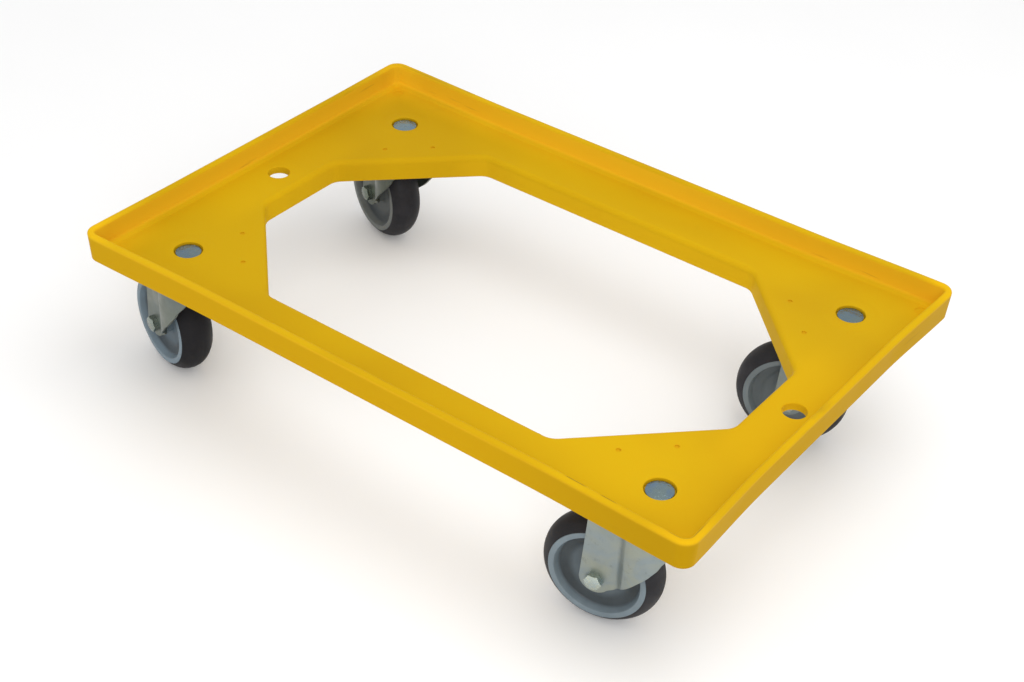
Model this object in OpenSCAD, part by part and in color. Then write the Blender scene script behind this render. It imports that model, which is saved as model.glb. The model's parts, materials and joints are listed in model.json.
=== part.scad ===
// Crate dolly: a moulded deck frame for 600 x 400 stacking crates on four swivel castors.
// Millimetres. The origin is the middle of the deck's flat top, halfway between the tow holes.
// X runs along the deck, Y across it and Z up. The castors trail towards the left end.

/* [Deck] */
// Outside length at the top of the rim
deck_l = 618; // [580:1:680]
// Outside width at the top of the rim
deck_w = 414; // [398:1:460]
// Thickness of the deck plate
deck_t = 4; // [3:0.5:5]
// Width of the two end strips, from the outer edge to the opening
end_strip_w = 61; // [57:1:66]
// Width of the two side strips, from the outer edge to the opening
side_strip_w = 59; // [55:1:64]
// Radius of the outer corners, seen from above
corner_r = 13; // [12.5:0.5:18]

/* [Rim] */
// Height of the rim above the deck
rim_h = 23; // [12:1:35]
// Thickness of the rim near its top
rim_t = 6.5; // [6:0.5:7.5]
// How far the inner face of the rim leans in at its foot
rim_lean = 0.4; // [0:0.1:1]
// How far the outer face leans in from the top to the bottom edge
wall_draft = 1.5; // [0:0.5:2.5]
// Radius along the outer top edge of the rim
rim_outer_r = 2.5; // [1:0.25:3]
// Radius along the inner top edge of the rim
rim_inner_r = 3; // [1:0.25:3.75]
// Radius along the bottom edge of the outer wall
wall_foot_r = 1.5; // [0.5:0.25:2]
// Radius of the fillet between the rim and the deck
rim_fillet = 5; // [1:0.5:6]

/* [Opening] */
// Length that each corner gusset takes off the opening, along X and along Y
gusset_cut = 101; // [80:1:115]
// Radius of the corners of the opening
opening_r = 15; // [10:1:20]
// Depth of the flange round the opening, below the deck's top
flange_drop = 22; // [14:1:26]
// Thickness of that flange
flange_t = 3.5; // [2.5:0.25:4.5]
// Radius where the deck rolls over into the flange
roll_r = 5; // [3:0.5:6]

/* [Castor seats] */
// Distance of each castor's axis from the end of the deck
castor_end_inset = 64; // [61:1:68]
// Distance of each castor's axis from the side of the deck
castor_side_inset = 62; // [59:1:66]
// Depth of the castor seat below the deck's top
seat_drop = 14; // [12.5:0.5:18]
// Diameter of the round boss that carries the castor
boss_d = 60; // [52:1:64]
// Diameter of the recess for the bolt head
recess_d = 25.4; // [25:0.1:28]
// Depth of that recess
recess_h = 4; // [3.5:0.1:6]
// Radius round the mouth of the recess
recess_lip_r = 0.8; // [0.4:0.1:1.5]

/* [Ribs under the deck] */
// Thickness of the ribs
rib_t = 2.5; // [1.5:0.25:3.5]
// Distance between the ribs across the strips
rib_pitch = 46; // [36:1:60]
// How far the ribs stop above the flange's lower edge
rib_step = 3; // [2:0.5:6]
// Depth of the ribs round each castor boss, below the deck's top
boss_rib_drop = 12; // [8:0.5:12.5]
// Number of ribs round each boss
boss_ribs = 8; // [4:1:12]

/* [Tow holes and mould marks] */
// Diameter of the tow holes
tow_hole_d = 20; // [14:0.5:24]
// Distance of the tow holes from the ends of the deck
tow_inset = 34; // [32:0.5:36]
// Width of the collar wall round each tow hole
tow_collar_t = 4; // [2:0.5:6]
// Depth of that collar below the deck's top
tow_collar_drop = 7; // [5:0.5:12]
// Diameter of the small dimples inside the castor bolts
dimple_d = 4; // [2:0.5:6]
// Depth of those dimples
dimple_h = 0.8; // [0.4:0.1:1.5]
// Nearer offset of a dimple from the castor axis
dimple_near = 17; // [14:1:22]
// Farther offset of a dimple from the castor axis
dimple_far = 49; // [44:1:52]
// Diameter of the flat mould mark in each corner
mark_d = 11; // [6:1:14]
// Distance of that mark from both outer edges
mark_inset = 20; // [18:1:24]
// Depth of that mark
mark_h = 0.3; // [0.2:0.1:0.6]

/* [Castor] */
// Height of the castor from the floor to its seat
castor_h = 128; // [120:1:140]
// Distance of the axle behind the swivel axis
trail = 38; // [34:1:42]
// Directions in which the castors trail: front left, front right, back right, back left
castor_turns = [165, 192, 198, 160];

/* [Wheel] */
// Diameter of the wheel
wheel_d = 100; // [90:1:104]
// Width of the wheel
wheel_w = 32; // [26:1:34]
// Depth of the tyre at its edges, so the shoulders fall by this much
tyre_shoulder = 9; // [5:0.5:12]
// Thickness of the tyre in the middle
tyre_t = 12; // [9.5:0.5:14]
// Width of the hub's rims beside the tyre's foot
hub_rim_w = 3; // [2:0.5:4]
// Width of the bright ring on the hub's face
hub_ring_w = 5; // [3:0.5:7]
// Depth of the dish in each face of the hub, at its rim
dish_rim_h = 6; // [3:0.5:8]
// Depth of the dish near the boss
dish_boss_h = 11; // [9:0.5:12.5]
// Lean of the dish's side wall
dish_lean = 2; // [1:0.5:4]
// Diameter of the hub's boss
hub_boss_d = 24; // [20:1:30]
// Free play between the hub's boss and each fork leg
hub_play = 0.4; // [0.2:0.1:0.8]
// Radial clearance of the hub on its sleeve
hub_clear = 0.06; // [0.03:0.01:0.1]

/* [Fork] */
// Thickness of the pressed steel
fork_t = 2.5; // [2:0.1:3]
// Clear width between the legs
leg_gap = 34; // [34:0.5:38]
// Outer radius of the crown
crown_r = 34; // [33:0.5:35]
// Outer bend radius along the edge of the crown
crown_bend = 5; // [4:0.5:6.5]
// Depth of the crown's front edge below its top
crown_lip = 10; // [8:0.5:12]
// Half width of the skirt in front of the legs, to its outer face
skirt_y = 26; // [25:0.5:28]
// Distance behind the swivel axis at which the legs step in from the skirt
step_x = 18; // [14:1:20]
// Length of that step along the leg
step_l = 6; // [4:0.5:7]
// Height of the lowest point of the skirt above the axle
skirt_low = 3; // [1:0.5:5]
// Radius of the skirt's curved front edge
skirt_r = 74; // [66:1:90]
// Reach of that edge ahead of the swivel axis
skirt_front = 21; // [18:0.5:23]
// Radius of the round end of each leg
leg_end_r = 13; // [11:0.5:15]
// Distance of the rear edge of the leg behind the swivel axis, at the crown
leg_back = 46.5; // [43:0.5:49]
// Hole in the crown round the king pin
crown_hole_d = 18; // [17.5:0.5:20]

/* [Swivel bearing] */
// Diameter of the balls in the upper row
upper_ball_d = 6; // [5:0.25:6.5]
// Pitch diameter of the upper row
upper_pitch_d = 50; // [48:0.5:51]
// Diameter of the balls in the lower row
lower_ball_d = 5; // [4:0.25:5.5]
// Pitch diameter of the lower row
lower_pitch_d = 30; // [29:0.5:32]
// Thickness of the pressed cap and cup
race_t = 2.5; // [2:0.1:3]
// Depth of the grooves that the balls run in
groove_h = 0.8; // [0.5:0.1:1]
// Clearance between a row of balls and the race above it
ball_clear = 0.3; // [0.2:0.05:0.4]
// Clearance between a row of balls and the race below it
ball_seat = 0.05; // [0.02:0.01:0.1]
// Outer radius of the cap
cap_r = 33; // [32:0.5:34]
// Gap between the cap's edge and the crown
cap_gap = 0.6; // [0.4:0.1:1]
// Outer diameter of the king pin's tube
king_d = 15; // [14:0.5:16]
// Diameter of the king pin's riveted ends
king_head_d = 22; // [20:0.5:24]
// Thickness of those ends
king_head_t = 1.2; // [1:0.1:1.4]

/* [Fasteners] */
// Thread diameter of the castor bolt
bolt_d = 10; // [8:0.5:10]
// Head diameter of the castor bolt
bolt_head_d = 24.65; // [22:0.05:24.8]
// Head height of the castor bolt
bolt_head_h = 3.4; // [2.6:0.1:3.9]
// Straight edge of that head below its dome
bolt_head_edge = 1; // [0.6:0.1:1.6]
// Length of the square neck
bolt_neck_h = 5.5; // [4:0.1:6]
// Length of thread that shows below the nut
bolt_end = 2.5; // [1:0.5:4]
// Width across the flats of the castor nut
nut_af = 17; // [15:0.5:18]
// Height of the castor nut
nut_h = 10; // [8:0.5:12]
// Outer diameter of the washer
washer_d = 20; // [18:0.5:24]
// Thickness of the washer
washer_t = 2; // [1.5:0.1:2.5]
// Thread diameter of the axle bolt
axle_d = 8; // [6:0.5:9]
// Width across the flats of the axle bolt and its nut
axle_af = 13; // [12:0.5:15]
// Head height of the axle bolt
axle_head_h = 5.3; // [4:0.1:6]
// Height of the axle nut
axle_nut_h = 8; // [6:0.5:9]
// Outer diameter of the sleeve on the axle
sleeve_d = 12; // [11:0.5:14]
// Clearance round each bolt in its hole
hole_clear = 0.2; // [0.1:0.05:0.3]

/* [Hidden] */
$fn = 64;

yellow = [0.92, 0.68, 0.05];
zinc = [0.72, 0.74, 0.72];
steel = [0.6, 0.61, 0.62];
hub_grey = [0.6, 0.64, 0.67];
tyre_brown = [0.16, 0.14, 0.14];

// Length by which a cut runs past a face, or a joined solid laps into its neighbour
lap = 1;
// The four corners, in the order front left, front right, back right, back left
corner_signs = [[-1, -1], [1, -1], [1, 1], [-1, 1]];

// Deck places
castor_x = deck_l / 2 - castor_end_inset;
castor_y = deck_w / 2 - castor_side_inset;
opening_x = deck_l / 2 - end_strip_w;
opening_y = deck_w / 2 - side_strip_w;
run_x = opening_x - gusset_cut;
run_y = opening_y - gusset_cut;
tow_x = deck_l / 2 - tow_inset;
plate_inset = rim_t + wall_draft;
rib_short = flange_t / 2 + wall_draft + rim_t / 2;
boss_rib_l = min(castor_end_inset, castor_side_inset) - wall_draft - rim_t;
rim_outline = [for (s = [[1, -1], [1, 1], [-1, 1], [-1, -1]]) [s.x * deck_l / 2, s.y * deck_w / 2]];
opening_outline = [
    [opening_x, -run_y], [opening_x, run_y], [run_x, opening_y], [-run_x, opening_y],
    [-opening_x, run_y], [-opening_x, -run_y], [-run_x, -opening_y], [run_x, -opening_y]
];

// Levels of the swivel bearing, down from the castor's seat
upper_ball_z = -(race_t - groove_h + ball_clear + upper_ball_d / 2);
crown_top = upper_ball_z - upper_ball_d / 2 + groove_h;
crown_under = crown_top - fork_t;
lower_ball_z = crown_under + groove_h - ball_clear - lower_ball_d / 2;
cup_top = lower_ball_z - lower_ball_d / 2 + groove_h;
cup_under = cup_top - race_t;
king_bottom = cup_under - king_head_t;
groove_ease = 0.3;
cup_r = lower_pitch_d / 2 + lower_ball_d / 2 + 0.6 + race_t;

// Axle and leg places, from the seat on the swivel axis
axle_z = wheel_d / 2 - castor_h;
leg_y = leg_gap / 2 + fork_t;
hub_half = leg_gap / 2 - hub_play;
foot_r = wheel_d / 2 - tyre_t;
ring_r = wheel_d / 2 - tyre_shoulder;

function heading(points, i) =
    let (a = points[i % len(points)], b = points[(i + 1) % len(points)]) atan2(b.y - a.y, b.x - a.x);
function bend_at(points, i) = (heading(points, i) - heading(points, i + len(points) - 1) + 720) % 360;

// Point where a line from p touches the circle of radius r round c; side is 1 or -1
function touch(c, r, p, side) =
    let (
        v = p - c,
        a = atan2(v.y, v.x) + side * acos(r / norm(v))
    ) c + r * [cos(a), sin(a)];

// Sweeps a flat profile round a closed outline with corners of radius r.
// The profile's x is the distance outside the outline, and its y is the height.
module swept_ring(points, r) {
    n = len(points);
    for (i = [0:n - 1]) {
        bend = bend_at(points, i);
        start = r * tan(bend / 2);
        finish = r * tan(bend_at(points, i + 1) / 2);
        run = norm(points[(i + 1) % n] - points[i]) - start - finish;
        translate(points[i]) rotate(heading(points, i)) translate([start, 0, 0]) rotate([90, 0, 90])
            linear_extrude(run) mirror([1, 0]) children();
        translate(points[i]) rotate(heading(points, i + n - 1)) translate([-start, r, 0]) rotate(-90)
            rotate_extrude(angle = bend) translate([r, 0]) children();
    }
}

module rounded_rectangle(l, w, r) {
    square([l - 2 * r, w], center = true);
    square([l, w - 2 * r], center = true);
    for (s = corner_signs) translate([s.x * (l / 2 - r), s.y * (w / 2 - r)]) circle(r);
}

// Section of the rim and the outer wall: x is negative inside the outline
module rim_section() {
    foot = rim_t + rim_lean;
    shoulder = rim_h - rim_outer_r;
    translate([-rim_outer_r, shoulder]) circle(rim_outer_r);
    translate([rim_inner_r - rim_t, rim_h - rim_inner_r]) circle(rim_inner_r);
    polygon([
        [-wall_draft, wall_foot_r - deck_t], [0, shoulder], [-rim_outer_r, rim_h],
        [rim_inner_r - rim_t, rim_h], [-rim_t, rim_h - rim_inner_r], [-foot, 0], [-foot, -deck_t],
        [-wall_draft - wall_foot_r, -deck_t]
    ]);
    translate([-wall_draft - wall_foot_r, wall_foot_r - deck_t]) circle(wall_foot_r);
    difference() {
        translate([-foot - rim_fillet, -lap]) square([rim_fillet + lap / 2, rim_fillet + lap]);
        translate([-foot - rim_fillet, rim_fillet]) circle(rim_fillet);
    }
}

// Section of the rolled edge and the flange: x is the distance from the opening's edge
function flange_section() =
    let (reach = roll_r + opening_r / 4, foot = flange_t / 3) concat(
        [[reach, -deck_t], [reach, 0]],
        [for (a = [0:15:90]) roll_r * [1 - sin(a), cos(a) - 1]],
        [[0, foot - flange_drop], [foot, -flange_drop], [flange_t - foot, -flange_drop]],
        [[flange_t, foot - flange_drop], [flange_t, -deck_t]]
    );

// Ring of a section round a closed outline whose corners have radius r
module section_ring(points, r, section) {
    step = 9;
    m = len(section);
    rings = [
        for (i = [0:len(points) - 1], a = [0:step:bend_at(points, i)])
            let (
                inward = heading(points, i) - bend_at(points, i) / 2 + 90,
                middle = points[i] + r / cos(bend_at(points, i) / 2) * [cos(inward), sin(inward)],
                out = heading(points, i) - bend_at(points, i) + a - 90
            ) [middle, out]
    ];
    n = len(rings);
    polyhedron(
        [for (k = rings, q = section) concat(k[0] + (r + q.x) * [cos(k[1]), sin(k[1])], [q.y])],
        [
            for (i = [0:n - 1], j = [0:m - 1])
                let (a = i * m, b = (i + 1) % n * m, c = (j + 1) % m) each [
                    [a + j, b + c, b + j], [a + j, a + c, b + c]
                ]
        ]
    );
}

// A rib that tapers from full depth at its root to the plate at its far end
module tapered_rib(root_drop, flat, reach) {
    translate([0, rib_t / 2, 0]) rotate([90, 0, 0]) linear_extrude(rib_t)
        polygon([[0, -lap], [0, -root_drop], [flat, -root_drop], [reach, lap - deck_t], [reach, -lap]]);
}

// Ribs across the four strips, from the flange out to the wall
module strip_ribs() {
    drop = flange_drop - rib_step;
    long_n = floor(run_x / rib_pitch);
    for (side = [0, 180], i = [-long_n:long_n])
        rotate(side) translate([i * rib_pitch, opening_y + flange_t / 2, 0]) rotate(90)
            tapered_rib(drop, 0, side_strip_w - rib_short);
    for (side = [0, 180], y = [-rib_pitch / 2, rib_pitch / 2])
        rotate(side) translate([opening_x + flange_t / 2, y, 0])
            tapered_rib(drop, 0, end_strip_w - rib_short);
}

module castor_boss() {
    translate([0, 0, -seat_drop]) cylinder(d = boss_d, h = seat_drop - lap);
    for (k = [0:boss_ribs - 1])
        rotate(k * 360 / boss_ribs)
            tapered_rib(boss_rib_drop, boss_d / 2 + lap, boss_rib_l);
}

// The bolt's recess, its square neck and its hole
module bolt_cut() {
    neck = bolt_d + 2 * hole_clear;
    translate([0, 0, -recess_h]) cylinder(d = recess_d, h = recess_h + lap);
    translate([-neck / 2, -neck / 2, -recess_h - bolt_neck_h - hole_clear])
        cube([neck, neck, bolt_neck_h + hole_clear + lap]);
    translate([0, 0, -seat_drop - lap]) cylinder(d = neck, h = seat_drop);
    rotate_extrude() translate([recess_d / 2, 0]) difference() {
        translate([-lap, -recess_lip_r]) square([lap + recess_lip_r, recess_lip_r + lap]);
        translate([recess_lip_r, -recess_lip_r]) circle(recess_lip_r);
    }
}

module deck() color(yellow) {
    difference() {
        union() {
            difference() {
                translate([0, 0, -deck_t]) linear_extrude(deck_t)
                    rounded_rectangle(deck_l - plate_inset, deck_w - plate_inset, corner_r - rim_t);
                translate([0, 0, -deck_t - lap]) linear_extrude(deck_t + 2 * lap)
                    polygon([for (i = [0:7]) opening_outline[i] + roll_at(i)]);
            }
            swept_ring(rim_outline, corner_r) rim_section();
            section_ring(opening_outline, opening_r, flange_section());
            strip_ribs();
            for (s = corner_signs) translate([s.x * castor_x, s.y * castor_y, 0]) castor_boss();
            for (s = [-1, 1]) translate([s * tow_x, 0, -tow_collar_drop])
                cylinder(d = tow_hole_d + 2 * tow_collar_t, h = tow_collar_drop - lap);
        }
        for (s = corner_signs) {
            translate([s.x * castor_x, s.y * castor_y, 0]) bolt_cut();
            for (d = [[dimple_near, dimple_far], [dimple_far, dimple_near]])
                translate([s.x * (castor_x - d.x), s.y * (castor_y - d.y), -dimple_h])
                    cylinder(d = dimple_d, h = dimple_h + lap);
            translate([s.x * (deck_l / 2 - mark_inset), s.y * (deck_w / 2 - mark_inset), -mark_h])
                cylinder(d = mark_d, h = mark_h + lap);
        }
        for (s = [-1, 1]) translate([s * tow_x, 0, -tow_collar_drop - lap])
            cylinder(d = tow_hole_d, h = tow_collar_drop + 2 * lap);
    }
}

// Shift of an outline corner when its two edges move out by the roll's radius
function roll_at(i) =
    let (
        bend = bend_at(opening_outline, i),
        a = heading(opening_outline, i) - bend / 2 - 90
    ) roll_r / cos(bend / 2) * [cos(a), sin(a)];

// Puts a piece that stays with the deck, drawn from the castor's seat, at corner i
module at_seat(i) {
    translate([corner_signs[i].x * castor_x, corner_signs[i].y * castor_y, -seat_drop]) children();
}

// Puts a piece that swivels, drawn with the trail along X, at corner i
module at_castor(i) {
    at_seat(i) rotate(castor_turns[i]) children();
}

// Turns a piece drawn along Z onto the axle, with its top on the outer side
module on_axle() {
    translate([trail, 0, axle_z]) rotate([-90, 0, 0]) children();
}

// Hexagon whose corners are eased by a cone on top, and below as well where both is true
module hex_piece(af, h, both) {
    corner = af / cos(30) / 2;
    wide = corner + 0.3;
    ease = (wide - af * 0.48) * tan(30);
    intersection() {
        cylinder(r = corner, h = h, $fn = 6);
        rotate_extrude() polygon(concat(
            both ? [[0, 0], [af * 0.48, 0], [wide, ease]] : [[0, 0], [wide, 0]],
            [[wide, h - ease], [af * 0.48, h], [0, h]]
        ));
    }
}

module ball_row(d, pitch_d) {
    count = floor(PI * pitch_d / (d * 1.08));
    for (k = [0:count - 1]) rotate(k * 360 / count) translate([pitch_d / 2, 0, 0]) sphere(d = d, $fn = 32);
}

// Ring cut that a row of balls runs in
module groove(d, pitch_d, bottom, up) {
    r = d / 2 + groove_ease;
    rotate_extrude() translate([pitch_d / 2, bottom + up * r]) circle(r);
}

module castor_bolt() color(zinc) {
    dome_h = bolt_head_h - bolt_head_edge;
    dome_r = (pow(bolt_head_d / 2, 2) + dome_h * dome_h) / (2 * dome_h);
    shank = seat_drop - recess_h - king_bottom + washer_t + nut_h + bolt_end;
    translate([0, 0, seat_drop - recess_h]) {
        intersection() {
            cylinder(d = bolt_head_d, h = bolt_head_h + lap);
            union() {
                cylinder(d = bolt_head_d, h = bolt_head_edge);
                translate([0, 0, bolt_head_h - dome_r]) sphere(r = dome_r, $fn = 96);
            }
        }
        translate([-bolt_d / 2, -bolt_d / 2, -bolt_neck_h]) cube([bolt_d, bolt_d, bolt_neck_h + lap / 2]);
        translate([0, 0, -shank]) cylinder(d = bolt_d, h = shank + lap / 2);
    }
}

module castor_washer() color(zinc) {
    translate([0, 0, king_bottom - washer_t]) difference() {
        cylinder(d = washer_d, h = washer_t);
        translate([0, 0, -lap]) cylinder(d = bolt_d + 2 * hole_clear, h = washer_t + 2 * lap);
    }
}

// Lock nut with a round collar on its lower end
module lock_nut(af, h, d) {
    collar_h = h / 4;
    difference() {
        union() {
            translate([0, 0, collar_h]) hex_piece(af, h - collar_h, true);
            cylinder(d = af * 0.88, h = collar_h + lap);
        }
        translate([0, 0, -lap]) cylinder(d = d + hole_clear / 2, h = h + 2 * lap);
    }
}

module castor_nut() color(zinc) {
    translate([0, 0, king_bottom - washer_t - nut_h]) lock_nut(nut_af, nut_h, bolt_d);
}

// Pressed cap that the deck bears on and that covers the upper balls
module swivel_cap() color(zinc) {
    edge_r = race_t * 0.6;
    difference() {
        rotate_extrude() {
            translate([0, -race_t]) square([cap_r - edge_r, race_t]);
            translate([cap_r - race_t, crown_top + cap_gap])
                square([race_t, -edge_r - crown_top - cap_gap]);
            translate([cap_r - edge_r, -edge_r]) circle(edge_r);
        }
        translate([0, 0, -race_t - lap]) cylinder(d = king_d, h = race_t + 2 * lap);
        translate([0, 0, -king_head_t]) cylinder(d = king_head_d, h = king_head_t + lap);
        groove(upper_ball_d, upper_pitch_d, upper_ball_z + upper_ball_d / 2 + ball_clear, -1);
    }
}

// Pressed cup under the crown that carries the lower balls
module lower_cup() color(zinc) {
    difference() {
        union() {
            translate([0, 0, cup_under]) cylinder(r = cup_r, h = race_t);
            translate([0, 0, cup_under]) difference() {
                cylinder(r = cup_r, h = race_t + lower_ball_d / 2);
                cylinder(r = cup_r - race_t, h = race_t + lower_ball_d);
            }
        }
        translate([0, 0, cup_under - lap]) cylinder(d = king_d, h = race_t + 2 * lap);
        groove(lower_ball_d, lower_pitch_d, lower_ball_z - lower_ball_d / 2 - ball_seat, 1);
    }
}

// Hollow rivet that holds the swivel head together
module king_pin() color(steel) {
    difference() {
        union() {
            translate([0, 0, king_bottom]) cylinder(d = king_d, h = -king_bottom);
            translate([0, 0, -king_head_t]) cylinder(d = king_head_d, h = king_head_t);
            translate([0, 0, king_bottom]) cylinder(d = king_head_d, h = king_head_t);
        }
        translate([0, 0, king_bottom - lap])
            cylinder(d = bolt_d + 2 * hole_clear, h = 2 * lap - king_bottom);
    }
}

module upper_balls() color(steel) translate([0, 0, upper_ball_z]) ball_row(upper_ball_d, upper_pitch_d);

module lower_balls() color(steel) translate([0, 0, lower_ball_z]) ball_row(lower_ball_d, lower_pitch_d);

module square_from(low, high) {
    translate(low) square(high - low);
}

// Outline of a bent channel: half is its half width
module channel_outline(half, low, top, bend) {
    square_from([-half, low], [half, top - bend]);
    square_from([bend - half, low], [half - bend, top]);
    for (s = [-1, 1]) translate([s * (half - bend), top - bend]) circle(bend);
}

// Solid form of the fork, drawn in by inset on all sides; x runs back to the legs' ends
module fork_form(inset, back) {
    r = crown_r - inset;
    top = crown_top - inset;
    bend = crown_bend - inset;
    low = axle_z - leg_end_r - lap;
    step_front = step_x - step_l / 2 - inset * tan(atan2(skirt_y - leg_y, step_l) / 2);
    wide = skirt_y - inset;
    narrow = leg_y - inset;
    intersection() {
        rotate_extrude() intersection() {
            channel_outline(r, low, top, bend);
            square_from([0, low - lap], [r + lap, top + lap]);
        }
        translate([-r - lap, 0, 0]) rotate([90, 0, 90]) linear_extrude(2 * r)
            channel_outline(wide, low - lap, top + lap + bend, bend);
        translate([0, 0, low - lap]) linear_extrude(top - low + 2 * lap) polygon([
            [-r - lap, -wide - lap], [step_front, -wide - lap], [step_front, -wide],
            [step_front + step_l, -narrow], [step_front + step_l, narrow],
            [step_front, wide], [step_front, wide + lap], [-r - lap, wide + lap]
        ]);
    }
    rotate([90, 0, 90]) linear_extrude(back) channel_outline(narrow, low, top, bend);
}

// Side outline of the fork: x back from the swivel axis, y up
module fork_outline() {
    axle = [trail, axle_z];
    low = [step_x, axle_z + skirt_low];
    rear = [leg_back, crown_top];
    eye_x = skirt_r - skirt_front;
    translate(axle) circle(leg_end_r);
    polygon([
        low, axle - leg_end_r * [0.6, 0.8], touch(axle, leg_end_r, rear, -1), rear,
        [leg_back, lap], [step_x, lap]
    ]);
    intersection() {
        translate([eye_x, low.y + sqrt(pow(skirt_r, 2) - pow(eye_x - step_x, 2))]) circle(skirt_r);
        square_from([-crown_r, low.y - lap], [step_x + lap, lap]);
    }
    square_from([-crown_r - lap, crown_top - crown_lip], [step_x + lap, lap]);
}

module fork() color(zinc) {
    difference() {
        intersection() {
            difference() {
                fork_form(0, leg_back + leg_end_r);
                fork_form(fork_t, leg_back + 2 * leg_end_r);
            }
            translate([0, crown_r + lap, 0]) rotate([90, 0, 0])
                linear_extrude(2 * (crown_r + lap)) fork_outline();
        }
        translate([0, 0, crown_under - lap]) cylinder(d = crown_hole_d, h = fork_t + 2 * lap);
        groove(upper_ball_d, upper_pitch_d, upper_ball_z - upper_ball_d / 2 - ball_seat, 1);
        groove(lower_ball_d, lower_pitch_d, lower_ball_z + lower_ball_d / 2 + ball_clear, -1);
        on_axle() translate([0, 0, -leg_y - lap])
            cylinder(d = axle_d + 2 * hole_clear, h = 2 * (leg_y + lap));
    }
}

module axle_sleeve() color(steel) {
    on_axle() translate([0, 0, -leg_gap / 2]) difference() {
        cylinder(d = sleeve_d, h = leg_gap);
        translate([0, 0, -lap]) cylinder(d = axle_d + 2 * hole_clear, h = leg_gap + 2 * lap);
    }
}

module axle_bolt() color(zinc) {
    tail = axle_nut_h + 2;
    on_axle() {
        translate([0, 0, leg_y]) hex_piece(axle_af, axle_head_h, false);
        translate([0, 0, -leg_y - tail]) cylinder(d = axle_d, h = 2 * leg_y + tail + lap);
    }
}

module axle_nut() color(zinc) {
    on_axle() translate([0, 0, -leg_y - axle_nut_h]) lock_nut(axle_af, axle_nut_h, axle_d);
}

// Outline of one side of the hub: x is the radius, y the distance from the middle plane
function hub_side() =
    let (
        face = wheel_w / 2,
        dish_r = ring_r - hub_ring_w,
        wall = dish_r - dish_lean,
        boss_r = hub_boss_d / 2
    ) [
        [foot_r, face - hub_rim_w], [ring_r, face - hub_rim_w / 2], [ring_r, face], [dish_r, face],
        [wall, face - dish_rim_h + 1], [wall - 1, face - dish_rim_h], [boss_r + 2, face - dish_boss_h],
        [boss_r, face - dish_boss_h + 2], [boss_r - 1, hub_half], [sleeve_d / 2 + hub_clear, hub_half]
    ];

module hub() color(hub_grey) {
    side = hub_side();
    n = len(side) - 1;
    on_axle() rotate_extrude() polygon(concat(side, [for (i = [n:-1:0]) [side[i].x, -side[i].y]]));
}

// Tyre with a round tread that ends at the hub's bright ring
module tyre() color(tyre_brown) {
    face = wheel_w / 2;
    round_r = (face * face + tyre_shoulder * tyre_shoulder) / (2 * tyre_shoulder);
    on_axle() rotate_extrude() intersection() {
        translate([wheel_d / 2 - round_r, 0]) circle(round_r, $fn = 128);
        polygon([
            [foot_r, hub_rim_w - face], [ring_r, hub_rim_w / 2 - face], [ring_r, -face],
            [wheel_d / 2 + lap, -face], [wheel_d / 2 + lap, face], [ring_r, face],
            [ring_r, face - hub_rim_w / 2], [foot_r, face - hub_rim_w]
        ]);
    }
}

deck();
for (i = [0:3]) at_seat(i) castor_bolt();  // castor_bolts
for (i = [0:3]) at_seat(i) castor_washer();  // castor_washers
for (i = [0:3]) at_seat(i) castor_nut();  // castor_nuts
at_seat(0) swivel_cap();  // swivel_cap_front_left
at_seat(1) swivel_cap();  // swivel_cap_front_right
at_seat(2) swivel_cap();  // swivel_cap_back_right
at_seat(3) swivel_cap();  // swivel_cap_back_left
at_seat(0) lower_cup();  // lower_cup_front_left
at_seat(1) lower_cup();  // lower_cup_front_right
at_seat(2) lower_cup();  // lower_cup_back_right
at_seat(3) lower_cup();  // lower_cup_back_left
at_seat(0) king_pin();  // king_pin_front_left
at_seat(1) king_pin();  // king_pin_front_right
at_seat(2) king_pin();  // king_pin_back_right
at_seat(3) king_pin();  // king_pin_back_left
at_seat(0) lower_balls();  // lower_balls_front_left
at_seat(1) lower_balls();  // lower_balls_front_right
at_seat(2) lower_balls();  // lower_balls_back_right
at_seat(3) lower_balls();  // lower_balls_back_left
at_seat(0) upper_balls();  // upper_balls_front_left
at_seat(1) upper_balls();  // upper_balls_front_right
at_seat(2) upper_balls();  // upper_balls_back_right
at_seat(3) upper_balls();  // upper_balls_back_left
at_castor(0) fork();  // fork_front_left
at_castor(1) fork();  // fork_front_right
at_castor(2) fork();  // fork_back_right
at_castor(3) fork();  // fork_back_left
at_castor(0) axle_sleeve();  // axle_sleeve_front_left
at_castor(1) axle_sleeve();  // axle_sleeve_front_right
at_castor(2) axle_sleeve();  // axle_sleeve_back_right
at_castor(3) axle_sleeve();  // axle_sleeve_back_left
at_castor(0) axle_bolt();  // axle_bolt_front_left
at_castor(1) axle_bolt();  // axle_bolt_front_right
at_castor(2) axle_bolt();  // axle_bolt_back_right
at_castor(3) axle_bolt();  // axle_bolt_back_left
at_castor(0) axle_nut();  // axle_nut_front_left
at_castor(1) axle_nut();  // axle_nut_front_right
at_castor(2) axle_nut();  // axle_nut_back_right
at_castor(3) axle_nut();  // axle_nut_back_left
at_castor(0) hub();  // hub_front_left
at_castor(1) hub();  // hub_front_right
at_castor(2) hub();  // hub_back_right
at_castor(3) hub();  // hub_back_left
at_castor(0) tyre();  // tyre_front_left
at_castor(1) tyre();  // tyre_front_right
at_castor(2) tyre();  // tyre_back_right
at_castor(3) tyre();  // tyre_back_left
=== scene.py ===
"""Crate dolly: finished pieces, materials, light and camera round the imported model."""

import json
import math

import bmesh
import bpy
from bpy.props import FloatProperty, FloatVectorProperty, IntProperty, PointerProperty
from mathutils import Matrix, Vector


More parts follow.
